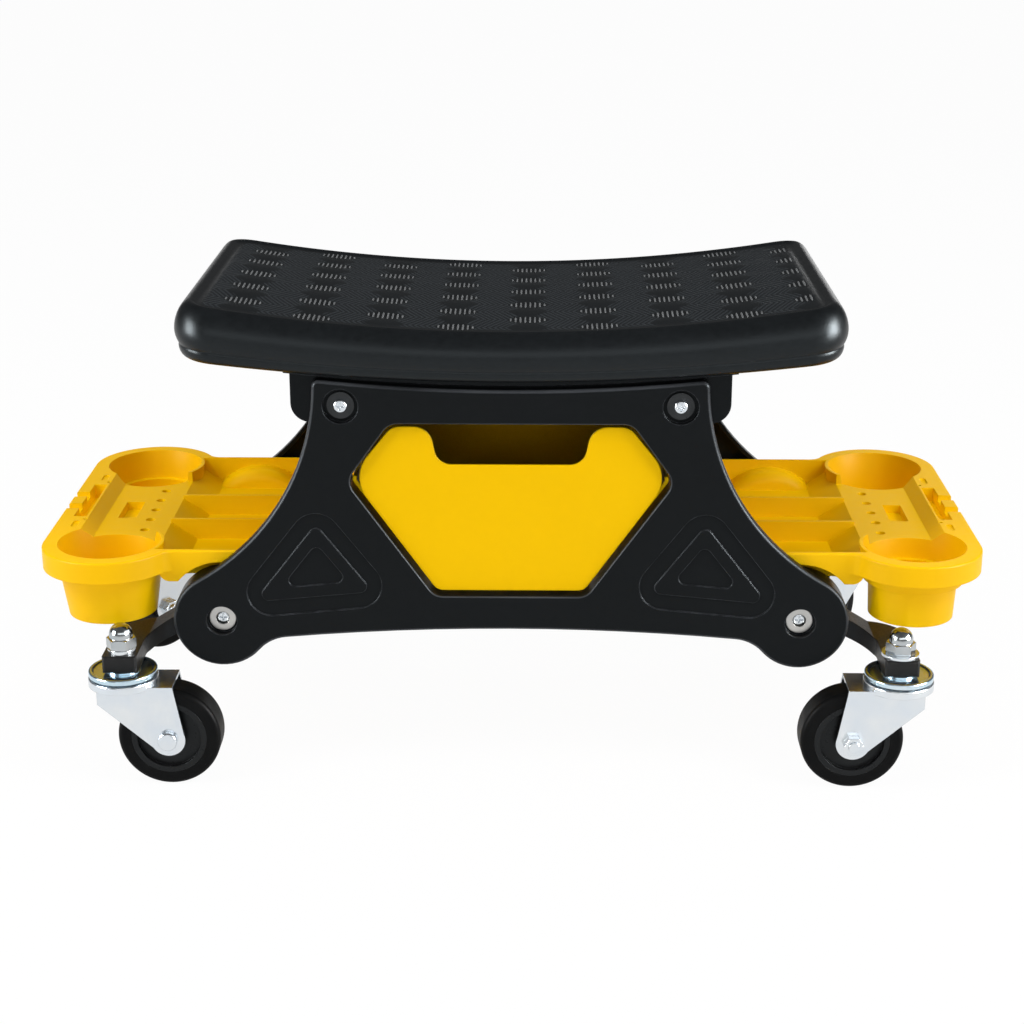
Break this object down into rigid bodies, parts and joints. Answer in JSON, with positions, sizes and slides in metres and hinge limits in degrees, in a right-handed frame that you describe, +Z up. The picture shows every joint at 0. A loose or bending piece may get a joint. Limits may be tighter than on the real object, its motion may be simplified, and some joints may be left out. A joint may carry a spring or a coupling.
{
  "type": "rolling mechanic seat",
  "caption": "Low rolling workshop seat: saddle-shaped black cushion on arched side panels, yellow side trays with cups, a slide-out yellow drawer and swivel casters.",
  "frame": {"origin": "on the floor, midway between the casters", "axes": "+X to the viewer's right along the seat, +Y away from the viewer, +Z up"},
  "size_m": [0.69, 0.331, 0.3521],
  "materials": {
    "cushion_black": "satin moulded skin",
    "panel_black": "satin fine grain",
    "yellow": "satin",
    "zinc": "bright zinc plate",
    "washer_black": "satin black",
    "arm_black": "satin black",
    "tyre_black": "satin",
    "core_black": "semi-gloss"
  },
  "bodies": {
    "frame": {"seat_cushion": "cushion_black", "seat_base": "panel_black", "front_panel": "panel_black", "rear_panel": "panel_black", "left_tray": "yellow", "right_tray": "yellow", "cushion_screws": "zinc", "tray_screws": "zinc", "swivel_balls": "zinc", "cap_nuts": "zinc", "lock_washers": "zinc", "flat_washers": "zinc", "upper_washers": "washer_black", "upper_screws": "zinc", "lower_bushes": "zinc", "lower_screws": "zinc", "lower_nuts": "zinc", "arm_front_left": "arm_black", "stem_front_left": "zinc", "arm_front_right": "arm_black", "stem_front_right": "zinc", "arm_rear_left": "arm_black", "stem_rear_left": "zinc", "arm_rear_right": "arm_black", "stem_rear_right": "zinc"},
    "drawer": {"drawer": "yellow"},
    "swivel_front_left": {"fork_front_left": "zinc", "axle_bolt_front_left": "zinc", "axle_nut_front_left": "zinc"},
    "wheel_front_left": {"tyre_front_left": "tyre_black", "wheel_core_front_left": "core_black", "axle_bush_front_left": "core_black"},
    "swivel_front_right": {"fork_front_right": "zinc", "axle_bolt_front_right": "zinc", "axle_nut_front_right": "zinc"},
    "wheel_front_right": {"tyre_front_right": "tyre_black", "wheel_core_front_right": "core_black", "axle_bush_front_right": "core_black"},
    "swivel_rear_left": {"fork_rear_left": "zinc", "axle_bolt_rear_left": "zinc", "axle_nut_rear_left": "zinc"},
    "wheel_rear_left": {"tyre_rear_left": "tyre_black", "wheel_core_rear_left": "core_black", "axle_bush_rear_left": "core_black"},
    "swivel_rear_right": {"fork_rear_right": "zinc", "axle_bolt_rear_right": "zinc", "axle_nut_rear_right": "zinc"},
    "wheel_rear_right": {"tyre_rear_right": "tyre_black", "wheel_core_rear_right": "core_black", "axle_bush_rear_right": "core_black"}
  },
  "joints": [
    {"name": "drawer_slide", "type": "slide", "parent": "frame", "child": "drawer", "axis": [0, -1, 0], "range_m": [0, 0.16]},
    {"name": "swivel_front_left", "type": "hinge", "parent": "frame", "child": "swivel_front_left", "pos_m": [-0.282, -0.14, 0.08], "axis": [0, 0, 1], "continuous": true},
    {"name": "roll_front_left", "type": "hinge", "parent": "swivel_front_left", "child": "wheel_front_left", "pos_m": [-0.249, -0.14, 0.0375], "axis": [0, 1, 0], "continuous": true},
    {"name": "swivel_front_right", "type": "hinge", "parent": "frame", "child": "swivel_front_right", "pos_m": [0.282, -0.14, 0.08], "axis": [0, 0, 1], "continuous": true},
    {"name": "roll_front_right", "type": "hinge", "parent": "swivel_front_right", "child": "wheel_front_right", "pos_m": [0.249, -0.14, 0.0375], "axis": [0, -1, 0], "continuous": true},
    {"name": "swivel_rear_left", "type": "hinge", "parent": "frame", "child": "swivel_rear_left", "pos_m": [-0.282, 0.14, 0.08], "axis": [0, 0, 1], "continuous": true},
    {"name": "roll_rear_left", "type": "hinge", "parent": "swivel_rear_left", "child": "wheel_rear_left", "pos_m": [-0.30534, 0.11667, 0.0375], "axis": [0.7071, -0.7071, 0], "continuous": true},
    {"name": "swivel_rear_right", "type": "hinge", "parent": "frame", "child": "swivel_rear_right", "pos_m": [0.282, 0.14, 0.08], "axis": [0, 0, 1], "continuous": true},
    {"name": "roll_rear_right", "type": "hinge", "parent": "swivel_rear_right", "child": "wheel_rear_right", "pos_m": [0.25866, 0.11667, 0.0375], "axis": [0.7071, -0.7071, 0], "continuous": true}
  ]
}
